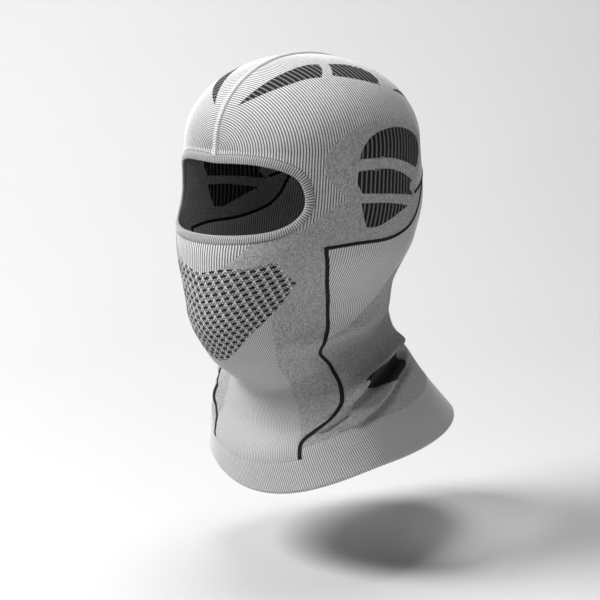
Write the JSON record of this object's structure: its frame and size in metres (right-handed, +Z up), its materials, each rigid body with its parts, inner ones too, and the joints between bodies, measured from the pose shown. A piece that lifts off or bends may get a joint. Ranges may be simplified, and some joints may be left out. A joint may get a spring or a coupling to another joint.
{
  "type": "balaclava",
  "caption": "Knitted full-face hood with a single eye opening, ribbed crown, mesh over the mouth, dark vents, black piping and a flared neck hem.",
  "frame": {"origin": "inside of the crown where it touches the top of the head, between the ears", "axes": "+Z up along the wearer's neck and head, face looks along -Y, wearer's left is +X"},
  "size_m": [0.1696, 0.2541, 0.3131],
  "materials": {
    "light_rib": "light grey ribbed knit, matt",
    "band_rib": "light grey edge rib, matt",
    "heather_knit": "mid grey heather jersey knit, matt",
    "mesh_knit": "open breathing knit, grey and black, matt",
    "vent_rib": "black rib knit with thin grey lines, matt",
    "piping": "black dense knit, matt",
    "stitch_thread": "grey stitching thread, matt"
  },
  "bodies": {
    "root": {"crown_left": "light_rib", "crown_right": "light_rib", "crown_seam": "light_rib", "crown_vent_back_left": "vent_rib", "crown_vent_back_right": "vent_rib", "crown_vent_front_left": "vent_rib", "crown_vent_front_right": "vent_rib", "crown_vent_rear_left": "vent_rib", "crown_vent_rear_right": "vent_rib", "eye_band": "band_rib", "eye_band_stitching": "stitch_thread", "hem_band": "band_rib", "hem_rib": "light_rib", "hem_stitching": "stitch_thread", "mouth_mesh": "mesh_knit", "nape_panel": "light_rib", "nape_piping": "piping", "neck_back_panel": "heather_knit", "neck_inset_left": "vent_rib", "neck_inset_right": "vent_rib", "neck_piping_left": "piping", "neck_piping_right": "piping", "nose_panel": "light_rib", "side_panel_left": "heather_knit", "side_panel_right": "heather_knit", "side_vent_lower_left": "vent_rib", "side_vent_lower_right": "vent_rib", "side_vent_middle_left": "vent_rib", "side_vent_middle_right": "vent_rib", "side_vent_upper_left": "vent_rib", "side_vent_upper_right": "vent_rib", "throat_panel": "light_rib"}
  },
  "joints": []
}
